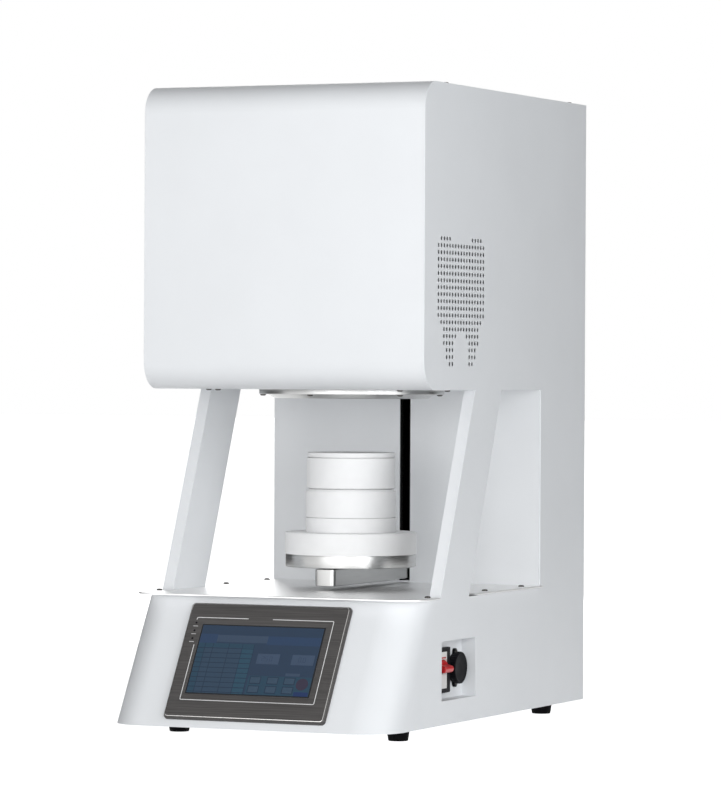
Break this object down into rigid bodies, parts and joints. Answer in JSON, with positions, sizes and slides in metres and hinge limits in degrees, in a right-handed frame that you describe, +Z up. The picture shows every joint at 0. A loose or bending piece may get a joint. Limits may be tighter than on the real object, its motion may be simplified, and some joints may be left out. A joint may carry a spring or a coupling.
{
  "type": "dental lab furnace",
  "caption": "Bench-top bottom-loading sintering furnace for dental ceramics: lift arm with hearth and crucibles under a boxy insulated head, sloped touch-panel base.",
  "frame": {"origin": "on the bench under the feet, at the middle of the overall width and depth", "axes": "+Z up; the front with the touch panel faces -Y; +X is to the right of a person facing the front"},
  "size_m": [0.3686, 0.61, 0.762],
  "materials": {
    "white_coat": "fine-textured white powder coat",
    "galvanised_sheet": "plain zinc-coated sheet",
    "stainless_plate": "fine brushed stainless",
    "stainless_polished": "turned and polished stainless",
    "screw_steel": "plain stainless screws",
    "rubber_black": "matt",
    "brush_black": "nylon bristle",
    "bezel_grey": "brushed dark grey",
    "screen_glass": "dim display behind a clear film",
    "plastic_black": "fine satin",
    "plastic_white": "satin",
    "plastic_red": "semi-gloss",
    "fibre_ceramic": "matt pressed fibre",
    "dense_ceramic": "matt fired",
    "element_grey": "glazed silicide",
    "aluminium_bare": "milled",
    "channel_black": "matt black coat",
    "shaft_steel": "ground",
    "nut_bronze": "machined bronze",
    "winding_enamel": "taped copper winding",
    "board_green": "printed board"
  },
  "bodies": {
    "cabinet": {"side_panel_left": "white_coat", "side_panel_right": "white_coat", "strut_channels": "white_coat", "head_shell": "white_coat", "column_cover": "white_coat", "rear_panel": "white_coat", "base_front_cover": "white_coat", "recess_tray": "white_coat", "floor_pan": "galvanised_sheet", "frame_rails": "galvanised_sheet", "chamber_drum": "galvanised_sheet", "drum_lid": "galvanised_sheet", "power_supply": "galvanised_sheet", "base_plate": "stainless_plate", "mouth_flange": "stainless_polished", "mouth_collar": "stainless_polished", "deck_screws": "screw_steel", "cabinet_screws": "screw_steel", "rubber_feet": "rubber_black", "slot_brushes": "brush_black", "panel_bezel": "bezel_grey", "panel_screen": "screen_glass", "panel_body": "plastic_black", "breaker_frame": "plastic_black", "inlet_socket": "plastic_black", "fan_housing": "plastic_black", "lift_sensors": "plastic_black", "breaker_body": "plastic_white", "insulation_floor": "fibre_ceramic", "insulation_wall": "fibre_ceramic", "insulation_roof": "fibre_ceramic", "element_holders": "dense_ceramic", "thermocouple": "dense_ceramic", "heating_elements": "element_grey", "terminal_clamps": "aluminium_bare", "bearing_blocks": "aluminium_bare", "power_controller": "aluminium_bare", "lift_channel": "channel_black", "lift_motor": "channel_black", "guide_rods": "shaft_steel", "screw_bearings": "shaft_steel", "transformer": "winding_enamel", "control_board": "board_green"},
    "lift": {"lift_tray": "stainless_polished", "hearth_plug": "fibre_ceramic", "pedestal": "dense_ceramic", "lift_arm": "stainless_polished", "lift_tongue": "stainless_polished", "arm_fasteners": "screw_steel", "lift_carriage": "aluminium_bare", "lift_nut": "nut_bronze", "linear_bushes": "shaft_steel"},
    "drive_screw": {"lead_screw": "shaft_steel", "drive_coupling": "aluminium_bare"},
    "lower_crucible_body": {"lower_crucible": "dense_ceramic"},
    "upper_crucible_body": {"upper_crucible": "dense_ceramic"},
    "lid_body": {"crucible_lid": "dense_ceramic"},
    "breaker_lever_body": {"breaker_lever": "plastic_red"},
    "inlet_cap_body": {"inlet_cap": "plastic_black"},
    "fan_rotor_body": {"fan_rotor": "plastic_black"}
  },
  "joints": [
    {"name": "lift_slide", "type": "slide", "parent": "cabinet", "child": "lift", "axis": [0, 0, 1], "range_m": [0, 0.202]},
    {"name": "screw_spin", "type": "hinge", "parent": "cabinet", "child": "drive_screw", "pos_m": [0, 0.231, 0.146], "axis": [0, 0, 1], "range_deg": [-7290, 10]},
    {"name": "lower_crucible_lift_off", "type": "slide", "parent": "lift", "child": "lower_crucible_body", "axis": [0, 0, 1], "range_m": [0, 0.015]},
    {"name": "upper_crucible_lift_off", "type": "slide", "parent": "lower_crucible_body", "child": "upper_crucible_body", "axis": [0, 0, 1], "range_m": [0, 0.015]},
    {"name": "lid_lift_off", "type": "slide", "parent": "upper_crucible_body", "child": "lid_body", "axis": [0, 0, 1], "range_m": [0, 0.02]},
    {"name": "breaker_toggle", "type": "hinge", "parent": "cabinet", "child": "breaker_lever_body", "pos_m": [0.1607, -0.113, 0.082], "axis": [0, -1, 0], "range_deg": [0, 44]},
    {"name": "inlet_cap_off", "type": "slide", "parent": "cabinet", "child": "inlet_cap_body", "axis": [1, 0, 0], "range_m": [0, 0.03]},
    {"name": "fan_spin", "type": "hinge", "parent": "cabinet", "child": "fan_rotor_body", "pos_m": [0, 0.29, 0.656], "axis": [0, 1, 0], "continuous": true}
  ],
  "couplings": [
    {"joint": "screw_spin", "follows": "lift_slide", "rad_per_m": -628.32}
  ]
}
